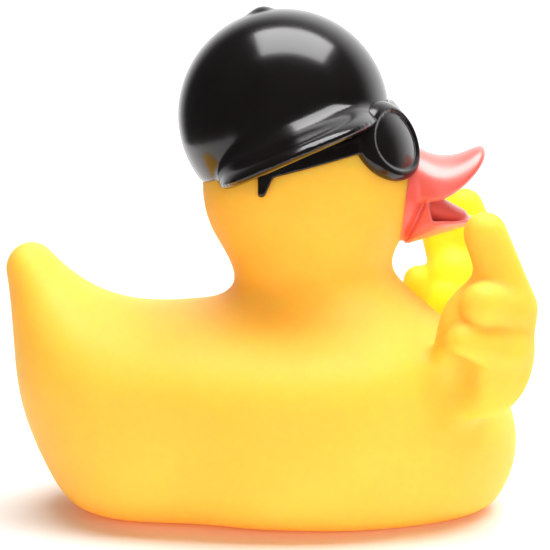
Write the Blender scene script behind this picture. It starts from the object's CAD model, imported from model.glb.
import math

import bpy
import numpy as np
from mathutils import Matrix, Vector


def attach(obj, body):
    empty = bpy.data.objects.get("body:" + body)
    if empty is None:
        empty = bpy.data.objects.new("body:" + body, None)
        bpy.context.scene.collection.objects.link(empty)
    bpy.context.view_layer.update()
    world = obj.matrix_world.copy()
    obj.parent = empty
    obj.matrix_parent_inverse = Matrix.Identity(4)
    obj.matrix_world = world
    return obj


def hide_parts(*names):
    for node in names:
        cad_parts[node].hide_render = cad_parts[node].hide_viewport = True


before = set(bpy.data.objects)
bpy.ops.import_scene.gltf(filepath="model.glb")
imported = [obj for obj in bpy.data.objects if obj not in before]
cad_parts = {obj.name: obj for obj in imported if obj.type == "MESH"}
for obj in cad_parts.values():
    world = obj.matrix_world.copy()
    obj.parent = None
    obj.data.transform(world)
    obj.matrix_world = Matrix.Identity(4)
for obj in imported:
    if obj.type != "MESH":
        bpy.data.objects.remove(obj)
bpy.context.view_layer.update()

# All forms are worked out in millimetres, in the frame's own axes, and meshed in metres.
MM = 0.001

# Mesh step of each finished surface
BODY_STEP = 0.75
CAP_STEP = 0.5
GLASSES_STEP = 0.34
BILL_STEP = 0.36


# Fields: negative inside a form, growing with distance from it
def length(*parts):
    total = 0.0
    for part in parts:
        total = total + part * part
    return np.sqrt(total)


def smooth_min(a, b, radius):
    overlap = np.maximum(radius - np.abs(a - b), 0) / radius
    return np.minimum(a, b) - overlap * overlap * radius * 0.25


def smooth_max(a, b, radius):
    return -smooth_min(-a, -b, radius)


def smooth_step(value, low, high):
    t = np.clip((value - low) / (high - low), 0, 1)
    return t * t * (3 - 2 * t)


def ellipsoid(centre, radii, tilt=0.0):
    cosine, sine = math.cos(tilt), math.sin(tilt)

    def field(x, y, z):
        off_x, off_y, off_z = x - centre[0], y - centre[1], z - centre[2]
        along_x = cosine * off_x + sine * off_z
        along_z = cosine * off_z - sine * off_x
        level = length(along_x / radii[0], off_y / radii[1], along_z / radii[2])
        slope = length(along_x / radii[0] ** 2, off_y / radii[1] ** 2, along_z / radii[2] ** 2)
        return level * (level - 1) / np.maximum(slope, 1e-6)

    return field


def taper(start, end, start_radius, end_radius):
    start, end = np.array(start, float), np.array(end, float)
    axis = end - start
    length2 = float(axis @ axis)
    fall = start_radius - end_radius
    slant2 = length2 - fall * fall

    def field(x, y, z):
        px, py, pz = x - start[0], y - start[1], z - start[2]
        along = px * axis[0] + py * axis[1] + pz * axis[2]
        past = along - length2
        off2 = ((px * length2 - axis[0] * along) ** 2 + (py * length2 - axis[1] * along) ** 2
                + (pz * length2 - axis[2] * along) ** 2)
        start2, end2 = along * along * length2, past * past * length2
        side = np.sign(fall) * fall * fall * off2
        at_end = np.sqrt(off2 + end2) / length2 - end_radius
        at_start = np.sqrt(off2 + start2) / length2 - start_radius
        flank = (np.sqrt(np.maximum(off2 * slant2 / length2, 0)) + along * fall) / length2 - start_radius
        near_end = np.sign(past) * slant2 * end2 > side
        near_start = np.sign(along) * slant2 * start2 < side
        return np.where(near_end, at_end, np.where(near_start, at_start, flank))

    return field


def rounded_rectangle(u, v, half_u, half_v, corner):
    over_u, over_v = np.abs(u) - half_u + corner, np.abs(v) - half_v + corner
    outside = length(np.maximum(over_u, 0), np.maximum(over_v, 0))
    return outside + np.minimum(np.maximum(over_u, over_v), 0) - corner


# Body, tail, breast, neck and head
HULL_X, HULL_Z = 4.0, 22.7
HULL_BACK, HULL_FRONT, HULL_HALF_WIDTH = 45.85, 26.6, 33.0
HULL_BELOW, HULL_ABOVE = 27.0, 13.65
HULL_BELOW_POWER, HULL_ABOVE_POWER = 2.0, 2.88
HULL_BACK_FULLNESS, HULL_FRONT_FULLNESS = 2.0, 2.5
HULL_BASE_FULLNESS, HULL_SHOULDER_SLOPE = 0.46, 0.24
TAIL_WIDENING, NECK_WIDENING = 1.7, 1.18
TAIL_BLEND, BREAST_BLEND, NECK_BLEND, HEAD_BLEND = 14, 10, 12, 4
BASE_EDGE_RADIUS = 2.8
HEAD_X, HEAD_Z = 6.0, 56.6
HEAD_HALF_WIDTH = 18.4
NEARLY_ZERO = 1e-9

tail = taper((-26.5, 0, 10.4), (-42.75, 0, 42.5), 11.0, 4.15)
breast = ellipsoid((20.5, 0, 11.95), (22.05, 24.5, 18.95))
neck = taper((11.55, 0, 30.95), (6.0, 0, 45.2), 10.85, 11.7)
head = ellipsoid((HEAD_X, 0, HEAD_Z), (18.6, HEAD_HALF_WIDTH, 18.0))


def hull(x, y, z):
    reach = np.where(x < HULL_X, HULL_BACK, HULL_FRONT)
    fullness = np.where(x < HULL_X, HULL_BACK_FULLNESS, HULL_FRONT_FULLNESS)
    height = np.where(z < HULL_Z, HULL_BELOW, HULL_ABOVE)
    power = np.where(z < HULL_Z, HULL_BELOW_POWER, HULL_ABOVE_POWER)
    lift = (z - HULL_Z) / height
    fuller_base = 1 / (1 + HULL_BASE_FULLNESS * lift ** 2)
    sloping_shoulder = 1 + HULL_SHOULDER_SLOPE * lift ** 2
    y = y * np.where(z < HULL_Z, fuller_base, sloping_shoulder)
    along_x = np.abs((x - HULL_X) / reach) + NEARLY_ZERO
    along_y = np.abs(y / HULL_HALF_WIDTH) + NEARLY_ZERO
    plan = (along_x ** fullness + along_y ** fullness) ** (1 / fullness)
    rise = np.abs(lift) + NEARLY_ZERO
    level = (plan ** power + rise ** power) ** (1 / power)
    plan_share, rise_share = (plan / level) ** (power - 1), (rise / level) ** (power - 1)
    slope = length(plan_share * (along_x / plan) ** (fullness - 1) / reach,
                   plan_share * (along_y / plan) ** (fullness - 1) / HULL_HALF_WIDTH, rise_share / height)
    return (level - 1) / slope


def torso(x, y, z):
    form = hull(x, y, z)
    form = smooth_min(form, tail(x, y / TAIL_WIDENING, z), TAIL_BLEND)
    form = smooth_min(form, breast(x, y, z), BREAST_BLEND)
    form = smooth_min(form, neck(x, y / NECK_WIDENING, z), NECK_BLEND)
    return smooth_min(form, head(x, y, z), HEAD_BLEND)


# Hands
HAND_Y = 21.5
HAND_FILLET = 4.2
FINGER_JOIN, ROLL_JOIN = 3.0, 0.7
RIGHT_JOIN, LEFT_JOIN = 1.1, 1.6
WRIST_EDGE = 3.0


def palm(side):
    return ellipsoid((35.0, side * HAND_Y, 31.5), (8.3, 5.6, 11.8))


def index_finger(side):
    return taper((39.4, side * HAND_Y, 38.5), (34.8, side * HAND_Y, 50.6), 4.1, 3.6)


def joined(radius, *parts):
    def field(x, y, z):
        form = parts[0](x, y, z)
        for part in parts[1:]:
            form = smooth_min(form, part(x, y, z), radius)
        return form

    return field


right_upper_roll = taper((34.2, -HAND_Y - 4.6, 39.4), (38.6, -HAND_Y - 2.0, 38.4), 3.8, 3.6)
right_lower_roll = taper((31.6, -HAND_Y - 4.9, 32.9), (38.2, -HAND_Y - 2.4, 31.6), 3.8, 4.0)
right_hand = joined(RIGHT_JOIN, joined(FINGER_JOIN, palm(-1), index_finger(-1)),
                    joined(ROLL_JOIN, right_upper_roll, right_lower_roll))

left_middle_finger = taper((33.6, HAND_Y + 1.0, 36.0), (29.5, HAND_Y + 1.5, 50.3), 4.2, 3.5)
left_upper_roll = taper((32.8, HAND_Y - 2.0, 38.7), (38.5, HAND_Y - 1.0, 38.5), 4.4, 4.2)
left_lower_roll = taper((31.8, HAND_Y - 3.5, 34.4), (38.0, HAND_Y - 2.0, 32.0), 4.3, 4.2)
left_thumb = taper((33.0, HAND_Y, 29.0), (26.6, HAND_Y, 37.0), 4.0, 2.9)
left_hand = joined(LEFT_JOIN, joined(FINGER_JOIN, palm(1), index_finger(1)), left_middle_finger,
                   joined(ROLL_JOIN, left_upper_roll, left_lower_roll), left_thumb)

wrist_hollow = ellipsoid((29.8, -HAND_Y - 5.6, 25.3), (3.4, 5.4, 5.6))

# Squeaker's seat in the base
SQUEAKER_X = -10.0
BORE_RADIUS, COUNTERBORE_RADIUS = 5.3, 7.3
FLANGE_SEAT_Z, BORE_TOP_Z = 1.6, 11.4
BORE_EDGE, SEAT_EDGE = 0.2, 0.4


def vinyl(x, y, z):
    form = torso(x, y, z)
    form = smooth_min(form, right_hand(x, y, z), HAND_FILLET)
    form = smooth_max(form, -wrist_hollow(x, y, z), WRIST_EDGE)
    form = smooth_min(form, left_hand(x, y, z), HAND_FILLET)
    form = smooth_max(form, -z, BASE_EDGE_RADIUS)
    radius = length(x - SQUEAKER_X, y)
    bore = smooth_max(radius - BORE_RADIUS, z - BORE_TOP_Z, BORE_EDGE)
    counterbore = smooth_max(radius - COUNTERBORE_RADIUS, z - FLANGE_SEAT_Z, BORE_EDGE)
    return smooth_max(form, -np.minimum(bore, counterbore), SEAT_EDGE)


# Cap, in its own frame: u to its front, y to the left, w up through the crown
CAP_RADIUS = 18.35
CAP_X, CAP_Z = 1.46, 69.0
CAP_TILT = math.radians(23.5)
CAP_RIM_DROP, CAP_RIM_ROUNDING = 5.5, 1.2
BRIM_HALF_WIDTH, BRIM_REACH, BRIM_ROOT = 14.8, 28.6, 10.5
BRIM_THICKNESS, BRIM_DROP, BRIM_SAG, BRIM_ARCH = 2.2, 5.8, 0.8, 1.8
BRIM_ROOT_RISE, BRIM_ROOT_RUN, BRIM_FILLET, BRIM_ROUNDING = 4.1, 3.0, 1.2, 2.8
BUTTON_SET_BACK = math.radians(13.7)
BUTTON_RADIUS, BUTTON_HALF_HEIGHT, BUTTON_SINK, BUTTON_FILLET = 2.9, 2.3, 1.6, 0.7
button_turn = BUTTON_SET_BACK - CAP_TILT
button_seat = CAP_RADIUS - BUTTON_SINK
button = ellipsoid((-button_seat * math.sin(button_turn), 0, button_seat * math.cos(button_turn)),
                   (BUTTON_RADIUS, BUTTON_RADIUS, BUTTON_HALF_HEIGHT), -button_turn)


def to_cap(x, z):
    off_x, off_z = x - CAP_X, z - CAP_Z
    return (math.cos(CAP_TILT) * off_x + math.sin(CAP_TILT) * off_z,
            math.cos(CAP_TILT) * off_z - math.sin(CAP_TILT) * off_x)


def brim(u, y, w, dome):
    outward = -y - BRIM_ROOT
    out = np.maximum(outward, 0) / (BRIM_REACH - BRIM_ROOT)
    across = u / BRIM_HALF_WIDTH
    plan = (length(across, out) - 1) * BRIM_HALF_WIDTH
    bottom = -BRIM_DROP - BRIM_SAG * out ** 2 - BRIM_ARCH * across ** 2
    root_rise = BRIM_ROOT_RISE * np.sqrt(np.maximum(1 - across ** 2, 0))
    top = bottom + BRIM_THICKNESS + root_rise * np.exp(-np.maximum(dome, 0) / BRIM_ROOT_RUN)
    slab = smooth_max(plan, np.maximum(w - top, bottom - w), BRIM_ROUNDING)
    return np.maximum(slab, y)


def cap(x, y, z):
    u, w = to_cap(x, z)
    dome = length(u, y, w) - CAP_RADIUS
    form = smooth_max(dome, -w - CAP_RIM_DROP, CAP_RIM_ROUNDING)
    form = smooth_min(form, brim(u, y, w, dome), BRIM_FILLET)
    return smooth_min(form, button(u, y, w), BUTTON_FILLET)


# Sunglasses
GLASSES_Z, GLASSES_RADIUS, GLASSES_HALF_HEIGHT = 60.0, 18.6, 17.6
LENS_ARC, LENS_Z = 11.2, 65.2
LENS_HALF_WIDTH, LENS_HALF_HEIGHT = 9.3, 6.9
PLATE_ARC, PLATE_HALF_WIDTH, PLATE_HALF_HEIGHT, PLATE_SINK = 10.7, 6.6, 4.9, -0.5
RIM_RELIEF, BROW_RELIEF, GLASSES_SINK = 1.15, 0.4, 3.2
LENS_ROUNDING, PLATE_ROUNDING, PLATE_EDGE, SHELL_EDGE = 1.6, 0.3, 0.7, 0.3
BROW_TOP_DROP, BROW_BOTTOM_DROP = 4.8, 8.0
BROW_ROUNDING, BROW_JOIN = 0.8, 0.4
TEMPLE_FRONT, TEMPLE_END = (14.6, 65.0), (-2.6, 60.45)
TEMPLE_HEIGHT, TEMPLE_RELIEF, TEMPLE_ROUNDING = 2.9, 1.2, 0.5
HOOK_BACK_X, HOOK_BOTTOM_Z, HOOK_TIP_WIDTH, HOOK_FLARE = -2.9, 56.2, 1.1, 0.45
HOOK_TOP_EDGE = 0.3
LEAN_COSINE = 0.91
temple_slope = math.atan2(TEMPLE_FRONT[1] - TEMPLE_END[1], TEMPLE_FRONT[0] - TEMPLE_END[0])
temple_half = math.dist(TEMPLE_FRONT, TEMPLE_END) / 2
glasses_shell = ellipsoid((HEAD_X, 0, GLASSES_Z), (GLASSES_RADIUS, GLASSES_RADIUS, GLASSES_HALF_HEIGHT))


def arc_from_nose(x, y):
    return np.arctan2(np.abs(y), x - HEAD_X) * HEAD_HALF_WIDTH


def face_oval(x, y, z, middle, half_width, half_height):
    across = (arc_from_nose(x, y) - middle) / half_width
    return (length(across, (z - LENS_Z) / half_height) - 1) * half_height


def temple(x, z):
    off_x = x - (TEMPLE_FRONT[0] + TEMPLE_END[0]) / 2
    off_z = z - (TEMPLE_FRONT[1] + TEMPLE_END[1]) / 2
    along = math.cos(temple_slope) * off_x + math.sin(temple_slope) * off_z
    across = math.cos(temple_slope) * off_z - math.sin(temple_slope) * off_x
    arm = rounded_rectangle(along, across, temple_half, TEMPLE_HEIGHT / 2, TEMPLE_ROUNDING)
    front = (x - HOOK_BACK_X - HOOK_TIP_WIDTH - HOOK_FLARE * (z - HOOK_BOTTOM_Z)) * LEAN_COSINE
    hook = smooth_max(HOOK_BACK_X - x, HOOK_BOTTOM_Z - z, TEMPLE_ROUNDING)
    hook = smooth_max(hook, front, TEMPLE_ROUNDING)
    hook = smooth_max(hook, z - TEMPLE_END[1], HOOK_TOP_EDGE)
    return smooth_min(arm, hook, TEMPLE_ROUNDING)


def glasses(x, y, z):
    skin = head(x, y, z)
    shell = glasses_shell(x, y, z)
    lens = face_oval(x, y, z, LENS_ARC, LENS_HALF_WIDTH, LENS_HALF_HEIGHT)
    form = smooth_max(lens, shell - RIM_RELIEF, LENS_ROUNDING)
    plate = face_oval(x, y, z, PLATE_ARC, PLATE_HALF_WIDTH, PLATE_HALF_HEIGHT)
    plate = smooth_max(plate, -shell - PLATE_SINK, PLATE_ROUNDING)
    form = smooth_max(form, -plate, PLATE_EDGE)
    _, w = to_cap(x, z)
    band = np.maximum(w + BROW_TOP_DROP, -BROW_BOTTOM_DROP - w)
    brow = smooth_max(band, arc_from_nose(x, y) - LENS_ARC - LENS_HALF_WIDTH, BROW_ROUNDING)
    brow = smooth_max(brow, shell - BROW_RELIEF, BROW_ROUNDING)
    form = smooth_min(form, brow, BROW_JOIN)
    arm = smooth_max(temple(x, z), skin - TEMPLE_RELIEF, TEMPLE_ROUNDING)
    arm = smooth_max(arm, HEAD_HALF_WIDTH / 2 - np.abs(y), TEMPLE_ROUNDING)
    form = smooth_min(form, arm, TEMPLE_ROUNDING)
    return smooth_max(form, -shell - GLASSES_SINK, SHELL_EDGE)


# Bill
BILL_BACK_X, BILL_PLAN_X, BILL_FULLNESS = 19.0, 22.0, 2.8
UPPER_TIP_X, UPPER_HALF_WIDTH, UPPER_THICKNESS, UPPER_ROUNDING = 36.5, 9.8, 1.9, 2.2
BILL_FLARE, FLARE_START_X, FLARE_END_X = 0.30, 22.0, 29.0
RIDGE_LOW_X, RIDGE_LOW_Z, RIDGE_CURL = 29.7, 62.0, 0.06
ARCH_POWER = 1.75
LIP_Z, LIP_RISE_X, LIP_RISE, LIP_RISE_POWER = 54.3, 26.0, 6.8, 1.9
LIP_CHAMFER, LIP_EDGE, CHAMFER_EDGE = 0.45, 0.4, 0.5
HALF_DIAGONAL = 0.7071
LOWER_TIP_X, LOWER_HALF_WIDTH, LOWER_LIP_Z = 35.2, 9.2, 51.2
LOWER_BOTTOM_Z, LOWER_BOTTOM_X, LOWER_SLOPE, LOWER_CAMBER = 47.4, 26.0, 0.3, 3.0
LOWER_ROUNDING, LOWER_LIP_EDGE, SCOOP_EDGE = 1.4, 0.6, 0.6
CORNER_X, CORNER_HALF_RUN, CORNER_RISE = 26.5, 0.7, 4.2
LOWER_BACK_X, LOWER_BACK_Z, LOWER_BACK_SLOPE = 23.2, 48.2, 0.456
root = ellipsoid((19.5, 0, 55.2), (8.2, 9.2, 8.6))
throat = ellipsoid((30.5, 0, 56.0), (6.3, 7.0, 5.0))
scoop = ellipsoid((29.2, 0, LOWER_LIP_Z + 0.8), (5.0, 7.4, 2.3))
tongue = taper((24.0, 0, 53.6), (32.2, 0, 51.2), 3.2, 1.5)
TONGUE_WIDENING = 1.7
BILL_JOIN, BILL_BACK_EDGE = 0.8, 0.5


def flared(x, half_width):
    return half_width * (1 - BILL_FLARE * (1 - smooth_step(x, FLARE_START_X, FLARE_END_X)))


def bill_plan(x, y, tip_x, half_width):
    along = np.maximum(x - BILL_PLAN_X, 0) / (tip_x - BILL_PLAN_X)
    across = np.abs(y) / flared(x, half_width)
    return ((along ** BILL_FULLNESS + across ** BILL_FULLNESS) ** (1 / BILL_FULLNESS) - 1) * half_width


def bill_arch(x, y, bent_z, half_width, crown_z):
    height = crown_z - LIP_Z
    across, upward = np.abs(y / flared(x, half_width)), np.maximum(bent_z - LIP_Z, 0) / height
    return ((across ** ARCH_POWER + upward ** ARCH_POWER) ** (1 / ARCH_POWER) - 1) * height


def upper_bill(x, y, z):
    bent_z = z - RIDGE_CURL * (x - RIDGE_LOW_X) ** 2
    rise = np.maximum(x - LIP_RISE_X, 0) / (UPPER_TIP_X - LIP_RISE_X)
    edge = LIP_Z + LIP_RISE * rise ** LIP_RISE_POWER - z
    form = smooth_max(bill_arch(x, y, bent_z, UPPER_HALF_WIDTH, RIDGE_LOW_Z),
                      bill_plan(x, y, UPPER_TIP_X, UPPER_HALF_WIDTH), UPPER_ROUNDING)
    chamfer = (form + edge) * HALF_DIAGONAL + LIP_CHAMFER
    form = smooth_max(smooth_max(form, edge, LIP_EDGE), chamfer, CHAMFER_EDGE)
    inner_width = UPPER_HALF_WIDTH - UPPER_THICKNESS
    roof = smooth_max(bill_arch(x, y, bent_z, inner_width, RIDGE_LOW_Z - UPPER_THICKNESS),
                      bill_plan(x, y, UPPER_TIP_X - UPPER_THICKNESS, inner_width), BILL_JOIN)
    return smooth_max(form, -roof, BILL_JOIN)


def lower_bill(x, y, z):
    bottom = LOWER_BOTTOM_Z + LOWER_SLOPE * (x - LOWER_BOTTOM_X) + LOWER_CAMBER * (y / LOWER_HALF_WIDTH) ** 2
    past_corner = smooth_step(x, CORNER_X - CORNER_HALF_RUN, CORNER_X + CORNER_HALF_RUN)
    edge = LOWER_LIP_Z + CORNER_RISE * (1 - past_corner)
    back = (LOWER_BACK_X + LOWER_BACK_SLOPE * (z - LOWER_BACK_Z) - x) * LEAN_COSINE
    form = smooth_max(bill_plan(x, y, LOWER_TIP_X, LOWER_HALF_WIDTH), bottom - z, LOWER_ROUNDING)
    form = smooth_max(smooth_max(form, z - edge, LOWER_LIP_EDGE), back, BILL_JOIN)
    return smooth_max(form, -scoop(x, y, z), SCOOP_EDGE)


def bill(x, y, z):
    form = smooth_max(root(x, y, z), -throat(x, y, z), BILL_JOIN)
    form = smooth_min(form, upper_bill(x, y, z), BILL_JOIN)
    form = smooth_min(form, lower_bill(x, y, z), BILL_JOIN)
    form = smooth_min(form, tongue(x, y / TONGUE_WIDENING, z), BILL_JOIN)
    return smooth_max(form, BILL_BACK_X - x, BILL_BACK_EDGE)


# Meshing: one vertex in each grid cell that a field's surface crosses, settled onto the surface
PINCH_ROUNDS, JUST_INSIDE = 8, -0.01
SETTLING_ROUNDS, SETTLING_SHARE = 5, 0.9
SLOPE_PROBE, LEAST_STEEPNESS = 0.01, 0.05


def open_pinched_faces(value):
    for _ in range(PINCH_ROUNDS):
        changed = False
        for first, second in ((0, 1), (0, 2), (1, 2)):
            window = [slice(None)] * 3
            corners = []
            for a, b in ((0, 0), (1, 0), (0, 1), (1, 1)):
                window[first] = slice(a, value.shape[first] - 1 + a)
                window[second] = slice(b, value.shape[second] - 1 + b)
                corners.append(tuple(window))
            inside = [value[corner] < 0 for corner in corners]
            pinched = (inside[0] == inside[3]) & (inside[1] == inside[2]) & (inside[0] != inside[1])
            if not pinched.any():
                continue
            changed = True
            for here, opposite in ((0, 3), (1, 2)):
                fill = pinched & ~inside[here]
                part = value[corners[here]]
                part[fill] = JUST_INSIDE
        if not changed:
            return


def skin(field, low, high, step):
    lines = [np.arange(a, b + step, step) for a, b in zip(low, high)]
    grid = np.meshgrid(*lines, indexing="ij", sparse=True)
    value = np.ascontiguousarray(np.broadcast_to(field(*grid), [len(line) for line in lines])).copy()
    for axis in range(3):
        for end in (0, -1):
            border = [slice(None)] * 3
            border[axis] = end
            value[tuple(border)] = np.maximum(value[tuple(border)], step)
    open_pinched_faces(value)
    inside = value < 0
    cells = tuple(n - 1 for n in value.shape)
    total, count = np.zeros(cells + (3,)), np.zeros(cells, int)
    crossings = []
    for axis in range(3):
        near, far = [slice(None)] * 3, [slice(None)] * 3
        near[axis], far[axis] = slice(0, -1), slice(1, None)
        cross = np.argwhere(inside[tuple(near)] != inside[tuple(far)])
        ahead = cross.copy()
        ahead[:, axis] += 1
        a, b = value[tuple(cross.T)], value[tuple(ahead.T)]
        share = a / (a - b)
        point = np.stack([lines[n][cross[:, n]] for n in range(3)], 1)
        point[:, axis] += share * step
        others = [n for n in range(3) if n != axis]
        for p in (0, 1):
            for q in (0, 1):
                cell = cross.copy()
                cell[:, others[0]] -= p
                cell[:, others[1]] -= q
                np.add.at(total, tuple(cell.T), point)
                np.add.at(count, tuple(cell.T), 1)
        crossings.append((axis, others, cross, a < 0))
    used = np.argwhere(count > 0)
    index = np.full(cells, -1)
    index[tuple(used.T)] = np.arange(len(used))
    points = total[tuple(used.T)] / count[tuple(used.T)][:, None]
    points = settled(field, points, step)
    quads = []
    for axis, others, cross, starts_inside in crossings:
        corners = []
        for p, q in ((1, 1), (0, 1), (0, 0), (1, 0)):
            cell = cross.copy()
            cell[:, others[0]] -= p
            cell[:, others[1]] -= q
            corners.append(index[tuple(cell.T)])
        quad = np.stack(corners, 1)
        turn = starts_inside if axis != 1 else ~starts_inside
        quads.append(np.where(turn[:, None], quad, quad[:, ::-1]))
    return points, np.concatenate(quads)


def settled(field, points, step):
    h = SLOPE_PROBE
    place = points.copy()
    for _ in range(SETTLING_ROUNDS):
        x, y, z = place.T
        level = field(x, y, z)
        slope = np.stack([field(x + h, y, z) - field(x - h, y, z), field(x, y + h, z) - field(x, y - h, z),
                          field(x, y, z + h) - field(x, y, z - h)], 1) / (2 * h)
        steep = np.maximum((slope ** 2).sum(1), LEAST_STEEPNESS)
        place -= slope * (SETTLING_SHARE * level / steep)[:, None]
    strayed = length(*(place - points).T) > step
    place[strayed] = points[strayed]
    return place


def mesh_piece(name, field, box, step, material):
    points, quads = skin(field, *box, step)
    mesh = bpy.data.meshes.new(name)
    mesh.from_pydata((points * MM).tolist(), [], quads.tolist())
    mesh.validate()
    mesh.shade_smooth()
    mesh.materials.append(material)
    piece = bpy.data.objects.new(name, mesh)
    bpy.context.collection.objects.link(piece)
    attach(piece, "root")
    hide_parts("duck_body")
    return piece


# Materials
class Nodes:
    """A material's node tree, with a principled shader ready to fill in."""

    def __init__(self, name):
        self.material = bpy.data.materials.new(name)
        self.material.use_nodes = True
        self.tree = self.material.node_tree
        self.shader = self.tree.nodes["Principled BSDF"]
        coordinates = self.tree.nodes.new("ShaderNodeTexCoord")
        self.place = coordinates.outputs["Object"]

    def set(self, **values):
        for name, value in values.items():
            self.shader.inputs[name.replace("_", " ")].default_value = value

    def add(self, kind, **values):
        node = self.tree.nodes.new(kind)
        for name, value in values.items():
            setattr(node, name, value)
        return node

    def link(self, output, target):
        self.tree.links.new(output, target)

    def noise(self, scale, detail=3.0):
        node = self.add("ShaderNodeTexNoise")
        self.link(self.place, node.inputs["Vector"])
        node.inputs["Scale"].default_value = scale
        node.inputs["Detail"].default_value = detail
        return node.outputs["Fac"]

    def ramp(self, factor, stops):
        node = self.add("ShaderNodeValToRGB")
        self.link(factor, node.inputs["Fac"])
        elements = node.color_ramp.elements
        for element, (position, colour) in zip(elements, stops):
            element.position = position
            element.color = (*colour, 1)
        return node.outputs["Color"]

    def mottled(self, scale, low, high, spread=0.2, detail=3.0):
        return self.ramp(self.noise(scale, detail), [(0.5 - spread, low), (0.5 + spread, high)])

    def uneven_gloss(self, scale, low, high):
        self.link(self.range(self.noise(scale), low, high), self.shader.inputs["Roughness"])

    def range(self, factor, low, high, start=0.0, end=1.0):
        node = self.add("ShaderNodeMapRange")
        self.link(factor, node.inputs["Value"])
        node.inputs["From Min"].default_value = start
        node.inputs["From Max"].default_value = end
        node.inputs["To Min"].default_value = low
        node.inputs["To Max"].default_value = high
        return node.outputs["Result"]

    def axes(self):
        node = self.add("ShaderNodeSeparateXYZ")
        self.link(self.place, node.inputs["Vector"])
        return node.outputs["X"], node.outputs["Y"], node.outputs["Z"]

    def side(self):
        geometry = self.add("ShaderNodeNewGeometry")
        node = self.add("ShaderNodeSeparateXYZ")
        self.link(geometry.outputs["Normal"], node.inputs["Vector"])
        return node.outputs["Y"]

    def product(self, first, second):
        node = self.add("ShaderNodeMath", operation="MULTIPLY")
        self.link(first, node.inputs[0])
        self.link(second, node.inputs[1])
        return node.outputs["Value"]

    def blend(self, factor, first, second):
        node = self.add("ShaderNodeMix", data_type="RGBA")
        self.link(factor, node.inputs["Factor"])
        self.link(first, node.inputs["A"])
        self.link(second, node.inputs["B"])
        return node.outputs["Result"]

    def bump(self, height, distance, strength=1.0):
        node = self.add("ShaderNodeBump")
        node.inputs["Strength"].default_value = strength
        node.inputs["Distance"].default_value = distance
        self.link(height, node.inputs["Height"])
        self.link(node.outputs["Normal"], self.shader.inputs["Normal"])


def vinyl_material(name):
    nodes = Nodes(name)
    golden = nodes.mottled(55, (1.0, 0.495, 0.05), (1.0, 0.525, 0.06), 0.15, 2.0)
    lemon = nodes.mottled(55, (1.0, 0.80, 0.03), (1.0, 0.84, 0.04), 0.15, 2.0)
    x, y, z = nodes.axes()
    backlit = nodes.product(nodes.range(x, 0, 1, 0.023, 0.029), nodes.range(y, 0, 1, 0.004, 0.014))
    backlit = nodes.product(backlit, nodes.range(z, 0, 1, 0.026, 0.034))
    backlit = nodes.product(backlit, nodes.range(nodes.side(), 1, 0, -0.2, 0.5))
    nodes.link(nodes.blend(backlit, golden, lemon), nodes.shader.inputs["Base Color"])
    nodes.uneven_gloss(240, 0.52, 0.62)
    nodes.set(IOR=1.38, Subsurface_Weight=0.9, Subsurface_Scale=0.010, Subsurface_Anisotropy=0.0)
    nodes.shader.inputs["Emission Color"].default_value = (1.0, 0.26, 0.03, 1)
    nodes.link(nodes.range(z, 0.34, 0.10, 0.001, 0.009), nodes.shader.inputs["Emission Strength"])
    nodes.shader.inputs["Subsurface Radius"].default_value = (1.0, 0.50, 0.10)
    nodes.bump(nodes.noise(1400, 2.0), 0.00002, 0.5)
    return nodes.material


def black_material(name):
    nodes = Nodes(name)
    nodes.link(nodes.mottled(90, (0.0045, 0.0032, 0.0032), (0.0075, 0.006, 0.006)),
               nodes.shader.inputs["Base Color"])
    nodes.uneven_gloss(320, 0.17, 0.23)
    nodes.set(IOR=1.45, Coat_Weight=0.25, Coat_Roughness=0.10)
    nodes.bump(nodes.noise(500, 1.0), 0.00002, 0.35)
    return nodes.material


def coral_material(name):
    nodes = Nodes(name)
    nodes.link(nodes.mottled(110, (0.70, 0.092, 0.068), (0.78, 0.120, 0.092)),
               nodes.shader.inputs["Base Color"])
    nodes.uneven_gloss(300, 0.26, 0.36)
    nodes.set(IOR=1.5, Subsurface_Weight=0.15, Subsurface_Scale=0.002)
    nodes.set(Coat_Weight=1.0, Coat_Roughness=0.46, Coat_IOR=1.7)
    nodes.shader.inputs["Subsurface Radius"].default_value = (1.0, 0.3, 0.2)
    nodes.bump(nodes.noise(900, 2.0), 0.00002, 0.5)
    return nodes.material


def plastic_material(name, low, high):
    nodes = Nodes(name)
    nodes.link(nodes.mottled(400, low, high), nodes.shader.inputs["Base Color"])
    nodes.uneven_gloss(900, 0.42, 0.55)
    nodes.set(Subsurface_Weight=0.2, Subsurface_Scale=0.001)
    nodes.bump(nodes.noise(2500), 0.00001, 0.5)
    return nodes.material


def brass_material(name):
    nodes = Nodes(name)
    nodes.link(nodes.mottled(700, (0.62, 0.40, 0.12), (0.74, 0.50, 0.18)),
               nodes.shader.inputs["Base Color"])
    nodes.uneven_gloss(1500, 0.28, 0.42)
    nodes.set(Metallic=1.0)
    nodes.bump(nodes.noise(3000), 0.000005, 0.5)
    return nodes.material


yellow_vinyl = vinyl_material("yellow_vinyl")
black_gloss = black_material("black_gloss_paint")
coral_paint = coral_material("coral_paint")
squeaker_plastic = plastic_material("squeaker_plastic", (0.84, 0.81, 0.73), (0.9, 0.87, 0.8))
reed_brass = brass_material("reed_brass")

# Pieces, each meshed inside a box that holds all of its surface
BODY_BOX = (-50, -36, -3), (47, 36, 78)
CAP_BOX = (-20, -31, 50), (23, 21, 91)
GLASSES_BOX = (-5, -23, 52), (29, 23, 76)
BILL_BOX = (17, -12.5, 43), (39, 12.5, 68)
mesh_piece("vinyl_body", vinyl, BODY_BOX, BODY_STEP, yellow_vinyl)
mesh_piece("cap_paint", cap, CAP_BOX, CAP_STEP, black_gloss)
mesh_piece("sunglasses_paint", glasses, GLASSES_BOX, GLASSES_STEP, black_gloss)
mesh_piece("bill_paint", bill, BILL_BOX, BILL_STEP, coral_paint)

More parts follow.
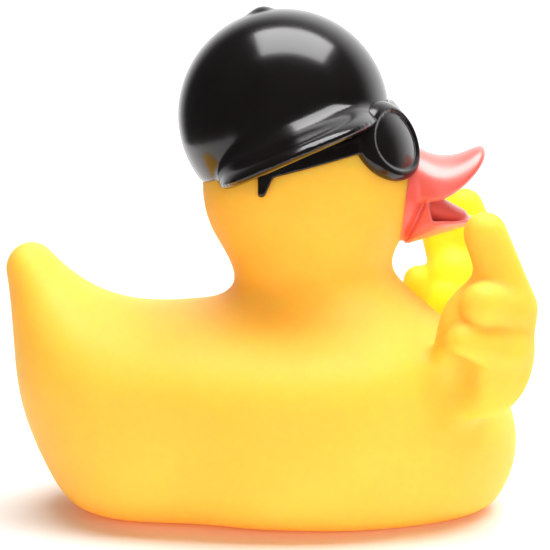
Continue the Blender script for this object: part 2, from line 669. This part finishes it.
for node, material in (("squeaker_barrel", squeaker_plastic), ("squeaker_plug", squeaker_plastic),
                       ("squeaker_reed", reed_brass)):
    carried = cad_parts[node]
    carried.data.materials.clear()
    carried.data.materials.append(material)


# Studio: white floor, soft lamps, camera at the photograph's angle
def floor_material():
    nodes = Nodes("floor_paper")
    nodes.link(nodes.mottled(6, (0.80, 0.79, 0.785), (0.82, 0.81, 0.805)),
               nodes.shader.inputs["Base Color"])
    nodes.set(Roughness=0.7)
    return nodes.material


FLOOR_SIDE, FLOOR_FRONT, FLOOR_BACK, FLOOR_DROP = 0.18, 0.12, 0.46, 0.00005
floor_mesh = bpy.data.meshes.new("floor")
floor_mesh.from_pydata([(-FLOOR_SIDE, -FLOOR_FRONT, 0), (FLOOR_SIDE, -FLOOR_FRONT, 0),
                        (FLOOR_SIDE, FLOOR_BACK, 0), (-FLOOR_SIDE, FLOOR_BACK, 0)], [], [(0, 1, 2, 3)])
floor_mesh.materials.append(floor_material())
floor = bpy.data.objects.new("floor", floor_mesh)
floor.location.z = -FLOOR_DROP
bpy.context.collection.objects.link(floor)


POWER_PER_RADIANCE = 4


def lamp(name, place, target, size_x, size_y, radiance, mirrored=True):
    light = bpy.data.lights.new(name, "AREA")
    light.shape = "RECTANGLE"
    light.size, light.size_y = size_x, size_y
    light.energy = POWER_PER_RADIANCE * radiance * size_x * size_y
    item = bpy.data.objects.new(name, light)
    item.location = place
    item.rotation_euler = (Vector(target) - Vector(place)).to_track_quat("-Z", "Y").to_euler()
    item.visible_glossy = mirrored
    bpy.context.collection.objects.link(item)


lamp("overhead_softbox", (0.17, 0.02, 0.96), (0.17, 0.02, 0.0), 1.0, 0.62, 6.4)
lamp("front_fill", (0.10, -0.80, 0.14), (0, 0, 0.03), 0.9, 0.5, 3.6, mirrored=False)
lamp("back_fill", (0.35, 0.60, 0.35), (0.03, 0, 0.03), 0.6, 0.4, 4.0, mirrored=False)

# Surroundings: a white wall behind, a dim room in front
WALL_FACING = (0.27, 0.963, 0.0)
WALL_EDGE, WALL_FULL = 0.42, 0.88
ROOM_LEVEL, WALL_LEVEL = 0.05, 1.5
world = bpy.data.worlds.new("studio")
bpy.context.scene.world = world
world.use_nodes = True
sky = world.node_tree
background = sky.nodes["Background"]
coordinates = sky.nodes.new("ShaderNodeTexCoord")
facing = sky.nodes.new("ShaderNodeVectorMath")
facing.operation = "DOT_PRODUCT"
facing.inputs[1].default_value = WALL_FACING
sky.links.new(coordinates.outputs["Generated"], facing.inputs[0])
fade = sky.nodes.new("ShaderNodeMapRange")
fade.interpolation_type = "SMOOTHSTEP"
fade.inputs["From Min"].default_value = WALL_EDGE
fade.inputs["From Max"].default_value = WALL_FULL
fade.inputs["To Min"].default_value = ROOM_LEVEL
fade.inputs["To Max"].default_value = WALL_LEVEL
sky.links.new(facing.outputs["Value"], fade.inputs["Value"])
sky.links.new(fade.outputs["Result"], background.inputs["Strength"])
background.inputs["Color"].default_value = (1, 1, 1, 1)

CAMERA_TARGET = Vector((0, 0, 0.0409))
CAMERA_DISTANCE = 0.4
CAMERA_RISE = math.radians(7.4)
SENSOR_WIDTH = 36.0
FOCAL_PIXELS = 2280.0
IMAGE_PIXELS = 550.0
CLIP_START = 0.01

camera_data = bpy.data.cameras.new("camera")
camera_data.sensor_width = SENSOR_WIDTH
camera_data.lens = SENSOR_WIDTH * FOCAL_PIXELS / IMAGE_PIXELS
camera_data.clip_start = CLIP_START
camera = bpy.data.objects.new("camera", camera_data)
towards_camera = Vector((0, -math.cos(CAMERA_RISE), math.sin(CAMERA_RISE)))
camera.location = CAMERA_TARGET + CAMERA_DISTANCE * towards_camera
camera.rotation_euler = (math.pi / 2 - CAMERA_RISE, 0, 0)
bpy.context.collection.objects.link(camera)
bpy.context.scene.camera = camera
bpy.context.scene.view_settings.view_transform = "Standard"
